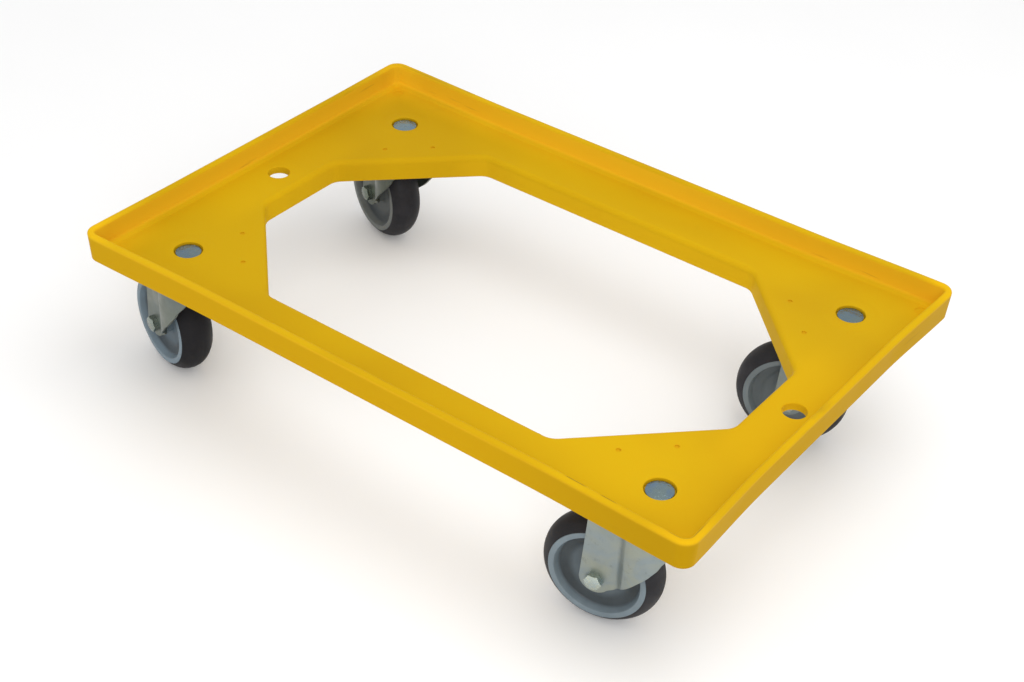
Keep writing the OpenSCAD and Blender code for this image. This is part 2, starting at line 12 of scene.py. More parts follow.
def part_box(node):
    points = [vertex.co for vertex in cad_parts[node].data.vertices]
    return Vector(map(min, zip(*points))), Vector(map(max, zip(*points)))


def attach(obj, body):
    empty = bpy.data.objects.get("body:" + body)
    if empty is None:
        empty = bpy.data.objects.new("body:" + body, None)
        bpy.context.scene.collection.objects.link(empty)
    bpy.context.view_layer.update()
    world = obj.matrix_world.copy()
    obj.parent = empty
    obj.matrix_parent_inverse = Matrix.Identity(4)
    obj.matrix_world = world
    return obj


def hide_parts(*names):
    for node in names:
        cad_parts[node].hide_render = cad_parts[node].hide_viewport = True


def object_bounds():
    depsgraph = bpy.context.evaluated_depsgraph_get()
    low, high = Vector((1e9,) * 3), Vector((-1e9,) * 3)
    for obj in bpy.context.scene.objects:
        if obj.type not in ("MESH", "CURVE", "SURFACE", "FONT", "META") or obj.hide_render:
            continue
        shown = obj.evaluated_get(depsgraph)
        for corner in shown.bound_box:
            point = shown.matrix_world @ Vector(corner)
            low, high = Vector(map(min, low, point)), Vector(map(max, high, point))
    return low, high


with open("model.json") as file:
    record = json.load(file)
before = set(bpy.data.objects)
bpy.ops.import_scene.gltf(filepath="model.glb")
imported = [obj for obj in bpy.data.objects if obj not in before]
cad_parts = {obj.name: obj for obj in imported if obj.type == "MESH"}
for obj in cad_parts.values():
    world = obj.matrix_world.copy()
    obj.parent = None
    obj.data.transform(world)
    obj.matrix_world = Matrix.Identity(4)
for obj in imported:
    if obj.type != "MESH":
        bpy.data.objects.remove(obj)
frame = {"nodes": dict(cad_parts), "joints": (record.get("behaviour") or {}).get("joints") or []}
cad_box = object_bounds()

bl_info = {
    "name": "Crate dolly",
    "version": (1, 0, 0),
    "blender": (4, 5, 0),
    "location": "3D View > Sidebar > Dolly",
    "description": "Finishes a crate dolly: deck moulding, swivel castors and a plain studio",
    "category": "Object",
}

PLACES = ("front_left", "front_right", "back_right", "back_left")
JOINTS = {joint["name"]: joint for joint in frame["joints"]}
# Shares from 0 to 1 for each castor, as in the photograph.
# Painted shade on the plated pressings and axle fasteners: darker for the castors further from the light,
# with a warm tint.
CASTOR_SHADE = {"front_left": 0.66, "front_right": 0.03, "back_right": 0.25, "back_left": 1.0}
# A darker tone on the castor bolts, washers and nuts, given per castor.
HEAD_DARKENING = {"front_left": 0.35, "front_right": 0.20, "back_right": 0.35, "back_left": 0.0}
# Painted shade in the hubs' dish.
HUB_DISH_SHADE = {"front_left": 0.9, "front_right": 1.0, "back_right": 0.45, "back_left": 1.0}
# What weather has left on the hubs.
WEATHER = {"front_left": 0.0, "front_right": 0.33, "back_right": 0.65, "back_left": 1.0}
# The tyre that is given painted shade, and how much blacker and duller it is made, from 0 to 1.
SHADED_TYRE, TYRE_SHADE_SHARE = "front_left", 0.55

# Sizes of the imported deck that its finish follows.
OUTLINE_R = 0.013
DIMPLE_NEAR, DIMPLE_FAR, MARK_INSET = 0.017, 0.049, 0.020
TOW_HOLE_X, TOW_HOLE_R = 0.275, 0.010
RECESS_R, RECESS_DEPTH = 0.0127, 0.004


def axle_matrix(place):
    """Axle frame of one castor: origin at the wheel's middle, Z along the axle to the bolt head, X level."""
    spin = JOINTS["wheel_spin_" + place]
    z = Vector(spin["axis"]).normalized()
    x = z.cross(Vector((0, 0, 1))).normalized()
    turn = Matrix((x, z.cross(x), z)).transposed().to_4x4()
    return Matrix.Translation(spin["pos_m"]) @ turn


def seat_of(place):
    """Where a castor's swivel axis meets the deck, seen from above."""
    return Vector(JOINTS["swivel_" + place]["pos_m"]).xy


def seat_matrix(place):
    """Frame of one castor's seat, on its swivel axis, with X along the trail."""
    swivel = Vector(JOINTS["swivel_" + place]["pos_m"])
    back = Vector(JOINTS["wheel_spin_" + place]["pos_m"]) - swivel
    return Matrix.Translation(swivel) @ Matrix.Rotation(math.atan2(back.y, back.x), 4, "Z")


# Settings


class DollyDeckSettings(bpy.types.PropertyGroup):
    plastic: FloatVectorProperty(
        name="Plastic",
        description="Colour of the moulded deck",
        subtype="COLOR",
        size=3,
        min=0,
        max=1,
        default=(0.616, 0.376, 0.0068),
    )
    plastic_deep: FloatVectorProperty(
        name="Plastic, deeper",
        description="Colour that the deck drifts to in broad patches",
        subtype="COLOR",
        size=3,
        min=0,
        max=1,
        default=(0.564, 0.333, 0.0068),
    )
    # Painted light: the walls' inner faces get this colour, brighter than the deck's.
    wall: FloatVectorProperty(
        name="Wall",
        description="Colour of the thin walls, through which some light comes",
        subtype="COLOR",
        size=3,
        min=0,
        max=1,
        default=(0.745, 0.435, 0.016),
    )
    # Painted shade: the walls' outer faces get this colour, darker than the deck's.
    outside: FloatVectorProperty(
        name="Outside",
        description="Colour of the handled outer faces of the walls",
        subtype="COLOR",
        size=3,
        min=0,
        max=1,
        default=(0.550, 0.312, 0.005),
    )
    # Painted shade: the small dimples and the mould marks near the corners take this deeper colour.
    dimple: FloatVectorProperty(
        name="Dimples",
        description="Deeper colour of the plastic in the small dimples",
        subtype="COLOR",
        size=3,
        min=0,
        max=1,
        default=(0.60, 0.29, 0.006),
    )
    # Rub marks with painted shade along the rim's inner edge, and streaks on the walls, take this colour.
    scuff_and_shade: FloatVectorProperty(
        name="Scuffs",
        description="Colour of the rubbed marks on the rim",
        subtype="COLOR",
        size=3,
        min=0,
        max=1,
        default=(0.16, 0.10, 0.02),
    )
    gloss: FloatProperty(
        name="Roughness",
        description="Roughness of the plastic's skin",
        min=0,
        max=1,
        default=0.36,
    )
    grain: FloatProperty(
        name="Grain",
        description="Height of the fine grain of the mould",
        subtype="DISTANCE",
        unit="LENGTH",
        min=0,
        max=0.001,
        default=0.00004,
    )
    waist_left: FloatProperty(
        name="Waist of the left end",
        description="How far the left end wall draws in between the corners",
        subtype="DISTANCE",
        unit="LENGTH",
        min=0,
        max=0.005,
        default=0.0012,
    )
    waist_right: FloatProperty(
        name="Waist of the right end",
        description="How far the right end wall draws in between the corners",
        subtype="DISTANCE",
        unit="LENGTH",
        min=0,
        max=0.005,
        default=0.0030,
    )
    waist_sides: FloatProperty(
        name="Waist of the sides",
        description="How far the side walls draw in between the corners",
        subtype="DISTANCE",
        unit="LENGTH",
        min=0,
        max=0.005,
        default=0.0030,
    )
    lip_share: FloatProperty(
        name="Recess lip",
        description="Width of the soft edge round the bolt recesses, as a share of the packed model's",
        min=0.2,
        max=1,
        default=0.6,
    )
    hole_ease: FloatProperty(
        name="Hole edge",
        description="Size of the soft edge round the tow holes",
        subtype="DISTANCE",
        unit="LENGTH",
        min=0,
        max=0.002,
        default=0.0009,
    )
    ring: FloatProperty(
        name="Seat ring",
        description="Height of the soft swelling round each bolt recess",
        subtype="DISTANCE",
        unit="LENGTH",
        min=0,
        max=0.002,
        default=0.0005,
    )


class DollyCastorSettings(bpy.types.PropertyGroup):
    tyre: FloatVectorProperty(
        name="Tyre",
        description="Colour of the soft tyres",
        subtype="COLOR",
        size=3,
        min=0,
        max=1,
        default=(0.0105, 0.0100, 0.0125),
    )
    hub: FloatVectorProperty(
        name="Hub",
        description="Colour of the moulded hubs",
        subtype="COLOR",
        size=3,
        min=0,
        max=1,
        default=(0.156, 0.207, 0.245),
    )
    zinc: FloatVectorProperty(
        name="Zinc",
        description="Colour of the plated pressings",
        subtype="COLOR",
        size=3,
        min=0,
        max=1,
        default=(0.285, 0.312, 0.296),
    )
    fastener: FloatVectorProperty(
        name="Fastener zinc",
        description="Colour of the plated bolts and nuts",
        subtype="COLOR",
        size=3,
        min=0,
        max=1,
        default=(0.184, 0.248, 0.300),
    )
    axle: FloatVectorProperty(
        name="Axle zinc",
        description="Colour of the bright plated axle bolts and nuts",
        subtype="COLOR",
        size=3,
        min=0,
        max=1,
        default=(0.42, 0.47, 0.44),
    )
    head_share: FloatProperty(
        name="Bolt head width",
        description="Visible width of the castor bolts' heads, as a share of the packed model's",
        min=0.8,
        max=1,
        default=0.90,
    )
    head_edge: FloatProperty(
        name="Bolt head edge",
        description="Height of the edge of the castor bolts' heads",
        subtype="DISTANCE",
        unit="LENGTH",
        min=-0.004,
        max=0,
        default=-0.0017,
    )
    head_dome: FloatProperty(
        name="Bolt head dome",
        description="Rise of the castor bolts' heads above their edge",
        subtype="DISTANCE",
        unit="LENGTH",
        min=0,
        max=0.003,
        default=0.0012,
    )
    tread_power: FloatProperty(
        name="Tread roundness",
        description="Power of the curve that the tread falls away by towards its shoulders",
        min=2,
        max=4,
        default=2.35,
    )
    steps: IntProperty(
        name="Steps round",
        description="Number of faces round a turned piece",
        min=24,
        max=256,
        default=128,
    )


class DollyStudioSettings(bpy.types.PropertyGroup):
    floor: FloatVectorProperty(
        name="Floor",
        description="Colour of the plain floor",
        subtype="COLOR",
        size=3,
        min=0,
        max=1,
        default=(0.95, 0.95, 0.95),
    )
    sky: FloatProperty(
        name="Sky",
        description="Strength of the even light from all round",
        min=0,
        max=5,
        default=0.90,
    )
    key: FloatProperty(
        name="Key light",
        description="Power of the soft light behind the camera",
        subtype="POWER",
        unit="POWER",
        min=0,
        max=500,
        default=9,
    )
    camera_place: FloatVectorProperty(
        name="Camera place",
        description="Where the camera stands",
        subtype="TRANSLATION",
        unit="LENGTH",
        size=3,
        default=(0.7437, -1.0279, 0.8702),
    )
    camera_turn: FloatVectorProperty(
        name="Camera turn",
        description="How the camera is turned, as XYZ angles",
        subtype="EULER",
        unit="ROTATION",
        size=3,
        default=(math.radians(53.632), math.radians(-2.042), math.radians(37.404)),
    )
    lens: FloatProperty(
        name="Lens",
        description="Focal length on a sensor 36 mm wide",
        subtype="DISTANCE_CAMERA",
        unit="CAMERA",
        min=10,
        max=300,
        default=63.363,
    )


# Materials


# Places of the colour sockets of a Mix node, whose names it shares between kinds.
MIX_COLOUR_A, MIX_COLOUR_B, MIX_COLOUR = 6, 7, 2


class Finish:
    """One node material, with short calls for the nodes that the finishes share."""

    def __init__(self, name):
        self.material = bpy.data.materials.new(name)
        self.material.use_nodes = True
        self.tree = self.material.node_tree
        self.tree.nodes.clear()
        self.shader = self.node("ShaderNodeBsdfPrincipled")
        output = self.node("ShaderNodeOutputMaterial")
        self.link(self.shader.outputs["BSDF"], output.inputs["Surface"])
        self.place = self.node("ShaderNodeTexCoord").outputs["Object"]

    def node(self, kind, **settings):
        made = self.tree.nodes.new(kind)
        for key, value in settings.items():
            setattr(made, key, value)
        return made

    def link(self, source, target):
        self.tree.links.new(source, target)

    def feed(self, socket, value):
        if isinstance(value, bpy.types.NodeSocket):
            self.link(value, socket)
        elif hasattr(value, "__len__") and len(value) == 3 and socket.type == "RGBA":
            socket.default_value = (*value, 1)
        else:
            socket.default_value = value

    def set(self, **values):
        for key, value in values.items():
            self.feed(self.shader.inputs[key.replace("_", " ")], value)

    def stretched(self, x, y, z):
        made = self.node("ShaderNodeMapping")
        self.link(self.place, made.inputs["Vector"])
        made.inputs["Scale"].default_value = (x, y, z)
        return made.outputs["Vector"]

    def noise(self, scale, detail=3.0, rough=0.5, place=None, twist=0.0):
        made = self.node("ShaderNodeTexNoise")
        self.link(place or self.place, made.inputs["Vector"])
        for key, value in (("Scale", scale), ("Detail", detail), ("Roughness", rough), ("Distortion", twist)):
            made.inputs[key].default_value = value
        return made.outputs["Fac"]

    def cells(self, scale, rand=1.0):
        made = self.node("ShaderNodeTexVoronoi", feature="F1")
        self.link(self.place, made.inputs["Vector"])
        made.inputs["Scale"].default_value = scale
        made.inputs["Randomness"].default_value = rand
        return made.outputs["Distance"]

    def maths(self, what, a, b=0.0):
        made = self.node("ShaderNodeMath", operation=what)
        for socket, value in zip(made.inputs, (a, b)):
            self.feed(socket, value)
        return made.outputs["Value"]

    def both(self, a, b):
        """The product of two shares: what lies in both of them."""
        return self.maths("MULTIPLY", a, b)

    def either(self, a, b):
        """The larger of two shares."""
        return self.maths("MAXIMUM", a, b)

    def distance(self, a, b):
        """Length of the diagonal of a by b."""
        return self.maths("SQRT", self.maths("ADD", self.both(a, a), self.both(b, b)))

    def range(self, value, low, high, to_low=0.0, to_high=1.0):
        """Smooth change from to_low at low to to_high at high; low may be the larger of the two."""
        made = self.node("ShaderNodeMapRange", interpolation_type="SMOOTHSTEP")
        for socket, given in zip(made.inputs, (value, low, high, to_low, to_high)):
            self.feed(socket, given)
        return made.outputs["Result"]

    def fall(self, value, low, high, full=1.0):
        """Smooth change from full at low to nothing at high."""
        return self.range(value, low, high, full, 0.0)

    def blend(self, share, a, b, how="MIX"):
        made = self.node("ShaderNodeMix", data_type="RGBA", blend_type=how)
        self.feed(made.inputs["Factor"], share)
        self.feed(made.inputs[MIX_COLOUR_A], a)
        self.feed(made.inputs[MIX_COLOUR_B], b)
        return made.outputs[MIX_COLOUR]

    def tinted(self, colour, tints):
        """The colour multiplied in turn by each factor, as far as its share goes."""
        for share, factor in tints:
            colour = self.blend(share, colour, factor, "MULTIPLY")
        return colour

    def note(self, name):
        """A share that the mesh carries at its points."""
        return self.node("ShaderNodeAttribute", attribute_name=name).outputs["Fac"]

    def xyz(self):
        made = self.node("ShaderNodeSeparateXYZ")
        self.link(self.place, made.inputs["Vector"])
        return made.outputs

    def bump(self, height, depth, strength=1.0, under=None):
        made = self.node("ShaderNodeBump")
        made.inputs["Strength"].default_value = strength
        made.inputs["Distance"].default_value = depth
        self.feed(made.inputs["Height"], height)
        if under is not None:
            self.link(under, made.inputs["Normal"])
        return made.outputs["Normal"]

    def round_edges(self, radius):
        made = self.node("ShaderNodeBevel", samples=6)
        made.inputs["Radius"].default_value = radius
        return made.outputs["Normal"]


def deck_floor_tone(f, look, x, y, z, across, along):
    """Colour of the floor: flow patches, then painted light and shade: painted shade toward the left end and
    at the back right, and painted light that walls and strips throw back on the end strips, corners, feet and
    back flange.
    """
    patches = f.noise(5.5, 2.0, 0.55, twist=0.6)
    specks = f.noise(900.0, 1.0)
    colour = f.blend(f.range(patches, 0.35, 0.68), look.plastic, look.plastic_deep)
    colour = f.blend(f.range(specks, 0.2, 0.8, 0.0, 0.06), colour, look.plastic_deep)
    toward_left = f.fall(x, -0.28, 0.24)
    end_strips = f.both(f.fall(along, 0.05, 0.12), f.range(across, 0.235, 0.260))
    corners = f.both(f.range(across, 0.262, 0.300), f.range(along, 0.160, 0.197))
    end_feet = f.both(f.range(across, 0.270, 0.298), f.range(along, 0.12, 0.17))
    side_feet = f.range(along, 0.168, 0.195)
    left_feet = f.both(f.either(end_feet, side_feet), f.range(x, 0.06, -0.24))
    back_right = f.both(f.range(x, 0.10, 0.24), f.range(y, 0.0, 0.10))
    back_right = f.both(back_right, f.fall(across, 0.280, 0.298))
    back_flange = f.both(f.range(y, 0.12, 0.14), f.range(z, -0.003, -0.008))
    # Painted light and shade: darker toward the left end and at the back right, lighter on the end strips,
    # corners, feet and back flange.
    tints = (
        (toward_left, (0.89, 0.885, 0.90)),
        (end_strips, (1.085, 1.085, 1.0)),
        (corners, (1.17, 1.14, 1.10)),
        (left_feet, (1.17, 1.18, 1.50)),
        (back_right, (0.94, 0.945, 1.10)),
        (back_flange, (1.08, 1.07, 1.20)),
    )
    return f.tinted(colour, tints)


def deck_wall_tone(f, look, x, z, along):
    """Colour of the walls' inner faces with painted light and shade: a little brighter at the foot and
    brighter in the left corners, darker at the left end and on the right half.
    """
    foot = tuple(c * 1.10 for c in look.wall)
    tone = f.blend(f.range(z, 0.003, 0.018), foot, look.wall)
    left_end = f.fall(x, -0.300, -0.295)
    left_corners = f.both(f.range(along, 0.180, 0.198), f.range(x, -0.26, -0.30))
    right_half = f.both(f.range(x, 0.0, 0.16), f.fall(x, 0.275, 0.298))
    # Painted shade at the left end and on the right half, painted light in the left corners.
    tints = (
        (left_end, (0.89, 0.87, 0.85)),
        (left_corners, (1.07, 1.14, 1.20)),
        (right_half, (0.93, 0.92, 0.90)),
    )
    return f.tinted(tone, tints)


def deck_scuffs_and_shade(f, x, y, z, top, inward):
    """Shares of the rub marks along the rim's inner edge, partly painted shade, and of the faint streaks on
    the walls.
    """
    rubs = f.noise(1.0, 4.0, 0.6, f.stretched(26.0, 26.0, 700.0))
    line = f.fall(f.maths("ABSOLUTE", f.maths("SUBTRACT", inward, 0.0046)), 0.0003, 0.0010)
    edge = f.both(line, f.range(z, top - 0.003, top - 0.001))
    marks = f.range(f.noise(9.0, 2.0, 0.6), 0.60, 0.72, 0.0, 0.45)
    front_wall = f.range(y, -0.17, -0.19)
    for middle, half in ((0.2065, 0.011), (0.236, 0.009), (0.297, 0.011)):
        off = f.maths("ABSOLUTE", f.maths("SUBTRACT", x, middle))
        marks = f.either(marks, f.both(f.fall(off, half - 0.005, half), front_wall))
    rubbed_and_shaded = f.both(f.range(rubs, 0.35, 0.55, 0.45, 1.0), f.both(marks, edge))
    streaks = f.noise(1.0, 3.0, 0.5, f.stretched(18.0, 18.0, 240.0))
    smears = f.both(f.range(streaks, 0.66, 0.80), f.range(z, -0.004, 0.004, 0.0, 0.25))
    return rubbed_and_shaded, smears


def yellow_moulding(look):
    """Satin yellow plastic: fine grain, a swelling round the bolts, painted light and shade on the floor and
    walls, painted shade in the dimples and a rim with rub marks and painted shade along its inner edge.
    """
    f = Finish("yellow_moulding")
    f.place = f.node("ShaderNodeAttribute", attribute_name="mould_place").outputs["Vector"]
    x, y, z = f.xyz()[:3]
    across, along = f.maths("ABSOLUTE", x), f.maths("ABSOLUTE", y)
    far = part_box("deck")[1]
    top = far.z
    seat = JOINTS["swivel_back_right"]["pos_m"]

    wall = f.both(f.range(z, 0.0012, 0.0045), f.fall(z, top - 0.0035, top - 0.0010))
    floor_tone = deck_floor_tone(f, look, x, y, z, across, along)
    # Painted light and shade on the walls' inner faces.
    colour = f.blend(wall, floor_tone, deck_wall_tone(f, look, x, z, along))

    past_x = f.either(f.maths("SUBTRACT", across, far.x - OUTLINE_R), 0.0)
    past_y = f.either(f.maths("SUBTRACT", along, far.y - OUTLINE_R), 0.0)
    inward = f.maths("SUBTRACT", OUTLINE_R, f.distance(past_x, past_y))
    outside = f.both(f.fall(inward, 0.0036, 0.0050), f.fall(z, top - 0.0050, top - 0.0010))
    # Painted shade: the walls' outer faces take the darker outside colour, and darker still near the front
    # right corner and on the right end.
    colour = f.blend(outside, colour, look.outside)
    near_corner = f.both(f.range(x, 0.08, 0.30), f.range(y, -0.19, -0.20))
    right_side = f.range(x, 0.300, 0.306, 0.0, 0.45)
    shaded = f.both(outside, f.either(near_corner, right_side))
    colour = f.blend(shaded, colour, tuple(c * 0.78 for c in look.outside))

    # Painted shade in the dimples and round the mould marks.
    dimple, mark = (0.0014, 0.0034, 0.48), (0.0042, 0.0062, 0.20)
    spots = (
        (seat[0] - DIMPLE_NEAR, seat[1] - DIMPLE_FAR, *dimple),
        (seat[0] - DIMPLE_FAR, seat[1] - DIMPLE_NEAR, *dimple),
        (far.x - MARK_INSET, far.y - MARK_INSET, *mark),
    )
    for spot_x, spot_y, inner_r, outer_r, share in spots:
        reach = f.distance(f.maths("SUBTRACT", across, spot_x), f.maths("SUBTRACT", along, spot_y))
        colour = f.blend(f.fall(reach, inner_r, outer_r, share), colour, look.dimple)

    rubbed_and_shaded, smears = deck_scuffs_and_shade(f, x, y, z, top, inward)
    # Rub marks and painted shade along the rim's inner edge.
    colour = f.blend(f.both(rubbed_and_shaded, 0.60), colour, look.scuff_and_shade)
    colour = f.blend(smears, colour, look.scuff_and_shade)
    rough = f.range(f.noise(14.0, 4.0, 0.65), 0.3, 0.75, look.gloss - 0.04, look.gloss + 0.10)
    rough = f.maths("ADD", rough, f.both(rubbed_and_shaded, 0.25))

    away = f.distance(f.maths("SUBTRACT", across, seat[0]), f.maths("SUBTRACT", along, seat[1]))
    ring = f.both(f.range(away, 0.0125, 0.0155), f.fall(away, 0.017, 0.026))
    normal = f.bump(ring, look.ring, 0.8)
    normal = f.bump(f.noise(32.0, 2.0, 0.5), 0.00045, 0.5, normal)
    normal = f.bump(f.noise(2300.0, 2.0, 0.6), look.grain, 0.35, normal)
    f.set(Base_Color=colour, Roughness=rough, Normal=normal)
    f.shader.inputs["Specular IOR Level"].default_value = 0.009
    f.shader.inputs["Specular Tint"].default_value = (1.0, 0.82, 0.35, 1.0)
    f.shader.inputs["Subsurface Weight"].default_value = 0.06
    f.shader.inputs["Subsurface Radius"].default_value = (0.004, 0.002, 0.0005)
    f.shader.inputs["Subsurface Scale"].default_value = 0.5
    return f.material


def soft_tyre(name, look, painted_shade):
    """Matt brown-grey rubber with dust in its grain, blacker and duller as far as its painted shade goes."""
    f = Finish(name)
    dusty = tuple(c * 1.7 + 0.005 for c in look.tyre)
    colour = f.blend(f.range(f.noise(24.0, 5.0, 0.62), 0.42, 0.72), look.tyre, dusty)
    colour = f.blend(f.range(f.noise(700.0, 2.0), 0.55, 0.75, 0.0, 0.35), colour, dusty)
    # Painted shade: the shaded tyre's rubber is made blacker here and its reflection weaker below.
    colour = f.blend(painted_shade, colour, tuple(c * 0.35 for c in look.tyre))
    normal = f.bump(f.noise(1500.0, 3.0, 0.6), 0.00006, 0.6)
    f.set(Base_Color=colour, Roughness=f.range(f.noise(40.0, 3.0), 0.3, 0.7, 0.50, 0.66), Normal=normal)
    f.shader.inputs["Specular IOR Level"].default_value = 0.25 - 0.15 * eased(painted_shade, 0, 1)
    return f.material


def hub_plastic(look):
    """Blue-grey moulded plastic with a faint cloudiness and fine grain, browner with age, with specks of
    soil, and painted shade in the dish.
    """
    f = Finish("blue_grey_hub")
    pale = tuple(min(1, c * 1.22) for c in look.hub)
    colour = f.blend(f.range(f.noise(30.0, 3.0, 0.6), 0.35, 0.7), look.hub, pale)
    dirt_and_dish_shade = f.range(f.noise(110.0, 5.0, 0.7), 0.60, 0.78, 0.0, 0.35)
    colour = f.tinted(colour, [(f.note("weathered"), (0.74, 0.60, 0.48))])
    # Painted shade in the dish, mottled; it and the specks of soil take the same dark colour.
    dish_shade = f.both(f.note("painted_dish_shade"), f.range(f.noise(45.0, 4.0, 0.6), 0.2, 0.8, 0.85, 1.0))
    grime_and_shade = tuple(c * share for c, share in zip(look.hub, (0.18, 0.17, 0.16)))
    colour = f.blend(f.either(dirt_and_dish_shade, dish_shade), colour, grime_and_shade)
    normal = f.bump(f.noise(1400.0, 2.0), 0.00004, 0.4, f.round_edges(0.0005))
    f.set(Base_Color=colour, Roughness=f.range(f.noise(60.0, 2.0), 0.3, 0.7, 0.36, 0.50), Normal=normal)
    f.shader.inputs["Specular IOR Level"].default_value = 0.3
    return f.material


def plated(name, colour, rough, patch, edge, lively=0.00003, swing=1.0):
    """Zinc plating: cloudy patches between warm and cool, fine drawn lines and small pits.

    patch is the scale of the clouds and swing how far they differ; edge is how far the edges look eased, and
    lively the height of the ripples.
    """
    f = Finish(name)
    warm = tuple(c * (1 + swing * more) for c, more in zip(colour, (0.05, 0.04, -0.03)))
    # On the pressings the cool patches are partly painted bluish reflections.
    cool = tuple(c * (1 + swing * more) for c, more in zip(colour, (-0.07, -0.02, 0.05)))
    clouds = f.noise(patch, 4.0, 0.6, twist=0.8)
    tone = f.blend(f.range(clouds, 0.34, 0.68), warm, cool)
    dull = f.range(f.noise(patch * 5, 5.0, 0.7), 0.56, 0.74, 0.0, 0.45)
    tone = f.blend(dull, tone, tuple(c * 0.55 for c in colour))
    # Painted shade: on the pressings and axle fasteners the castors further from the light are darkened, with
    # a warm tint; on the castor bolts the same darkening is a darker tone given per castor.
    tarnished_tone = tuple(c * share for c, share in zip(colour, (0.42, 0.43, 0.38)))
    tone = f.blend(f.note("tarnish"), tone, tarnished_tone)
    drawn = f.noise(1.0, 3.0, 0.55, f.stretched(900.0, 900.0, 60.0))
    shine = f.range(f.noise(patch * 2.2, 4.0, 0.65), 0.3, 0.7, rough - 0.08, rough + 0.12)
    normal = f.bump(drawn, 0.00003, 0.35, f.round_edges(edge))
    normal = f.bump(f.noise(patch * 3.5, 3.0, 0.6), lively, 0.7, normal)
    normal = f.bump(f.range(f.cells(1300.0), 0.0, 0.35), 0.00003, 0.4, normal)
    f.set(Base_Color=tone, Roughness=shine, Normal=normal)
    f.shader.inputs["Metallic"].default_value = 0.9
    return f.material


def bearing_steel():
    """Polished steel of the balls under a film of grease."""
    f = Finish("bearing_steel")
    film = f.range(f.noise(260.0, 4.0, 0.6), 0.45, 0.7)
    f.set(
        Base_Color=f.blend(film, (0.62, 0.63, 0.64), (0.42, 0.36, 0.26)),
        Roughness=f.range(film, 0.0, 1.0, 0.12, 0.32),
        Normal=f.bump(f.noise(1800.0), 0.00001, 0.2),
    )
    f.shader.inputs["Metallic"].default_value = 0.95
    return f.material


def plain_floor(look):
    """Pale matt floor with a barely visible mottle."""
    f = Finish("plain_floor")
    shade = tuple(c * 0.985 for c in look.floor)
    f.set(
        Base_Color=f.blend(f.range(f.noise(3.0, 3.0), 0.3, 0.7), look.floor, shade),
        Roughness=f.range(f.noise(20.0), 0.3, 0.7, 0.75, 0.85),
        Normal=f.bump(f.noise(400.0), 0.00005, 0.1),
    )
    return f.material


def finish_named(name):
    """The material of that name, made on first use from the scene's settings."""
    found = bpy.data.materials.get(name)
    if found:
        return found
    scene = bpy.context.scene
    castor = scene.dolly_castor
    makers = {
        "yellow_moulding": lambda: yellow_moulding(scene.dolly_deck),
        "soft_tyre": lambda: soft_tyre("soft_tyre", castor, 0.0),
        "shaded_tyre": lambda: soft_tyre("shaded_tyre", castor, TYRE_SHADE_SHARE),
        "blue_grey_hub": lambda: hub_plastic(castor),
        # The pressings' wide swing paints bluish reflections into their cool patches, beside the zinc's own
        # cloudiness.
        "plated_pressing": lambda: plated(
            "plated_pressing", castor.zinc, rough=0.40, patch=34.0, edge=0.0006, lively=0.00004, swing=1.4
        ),
        "plated_fastener": lambda: plated(
            "plated_fastener", castor.fastener, rough=0.22, patch=75.0, edge=0.0003, lively=0.0010, swing=2.4
        ),
        "plated_axle": lambda: plated("plated_axle", castor.axle, rough=0.24, patch=150.0, edge=0.0004),
        "turned_steel": lambda: plated(
            "turned_steel", (0.42, 0.42, 0.43), rough=0.36, patch=70.0, edge=0.0003
        ),
        "bearing_steel": bearing_steel,
        "plain_floor": lambda: plain_floor(scene.dolly_studio),
    }
    return makers[name]()


# Mesh tools


def piece_from(edit, name, finish, body, node):
    """Makes a piece from a bmesh, gives it its finish and lets it ride on a body in place of a CAD node."""
    mesh = bpy.data.meshes.new(name)
    edit.to_mesh(mesh)
    edit.free()
    mesh.materials.append(finish_named(finish))
    piece = bpy.data.objects.new(name, mesh)
    bpy.context.scene.collection.objects.link(piece)
    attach(piece, body)
    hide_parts(node)
    return piece


def shade_by_angle(edit, degrees):
    """Smooth faces, with a hard edge wherever two faces meet at more than the angle."""
    for face in edit.faces:
        face.smooth = True
    for edge in edit.edges:
        edge.smooth = len(edge.link_faces) == 2 and edge.calc_face_angle(0) < math.radians(degrees)


def turned(profile, steps, place, notes=()):
    """Closed body turned about Z from a list of (radius, height), moved by a matrix.

    Each note is an attribute's name and its value as a function of radius and height.
    """
    edit = bmesh.new()
    layers = [(edit.verts.layers.float.new(name), value) for name, value in notes]
    rings = []
    for k in range(steps):
        angle = 2 * math.pi * k / steps
        rings.append([edit.verts.new((r * math.cos(angle), r * math.sin(angle), h)) for r, h in profile])
        for layer, value in layers:
            for vert, (r, h) in zip(rings[-1], profile):
                vert[layer] = value(r, h)
    n = len(profile)
    for k in range(steps):
        here, after = rings[k], rings[(k + 1) % steps]
        for j in range(n):
            edit.faces.new((here[j], after[j], after[(j + 1) % n], here[(j + 1) % n]))
    edit.normal_update()
    if edit.calc_volume(signed=True) < 0:
        bmesh.ops.reverse_faces(edit, faces=edit.faces)
    bmesh.ops.transform(edit, matrix=place, verts=edit.verts)
    shade_by_angle(edit, 32)
    return edit


def rounded(points, radii, steps=4):
    """Closed outline whose corners are eased, each by its own radius."""
    out = []
    n = len(points)
    for i, (x, y) in enumerate(points):
        here, before, after = Vector((x, y)), Vector(points[i - 1]), Vector(points[(i + 1) % n])
        a, b = before - here, after - here
        r = min(radii[i], a.length * 0.45, b.length * 0.45)
        if r <= 0:
            out.append((x, y))
            continue
        start, end = here + a.normalized() * r, here + b.normalized() * r
        for k in range(steps + 1):
            t = k / steps
            point = (1 - t) ** 2 * start + 2 * t * (1 - t) * here + t * t * end
            out.append((point.x, point.y))
    return out


def welded_copy(node):
    """The CAD node's mesh as a bmesh, with its points welded."""
    edit = bmesh.new()
    edit.from_mesh(frame["nodes"][node].data)
    bmesh.ops.remove_doubles(edit, verts=edit.verts, dist=2e-6)
    return edit


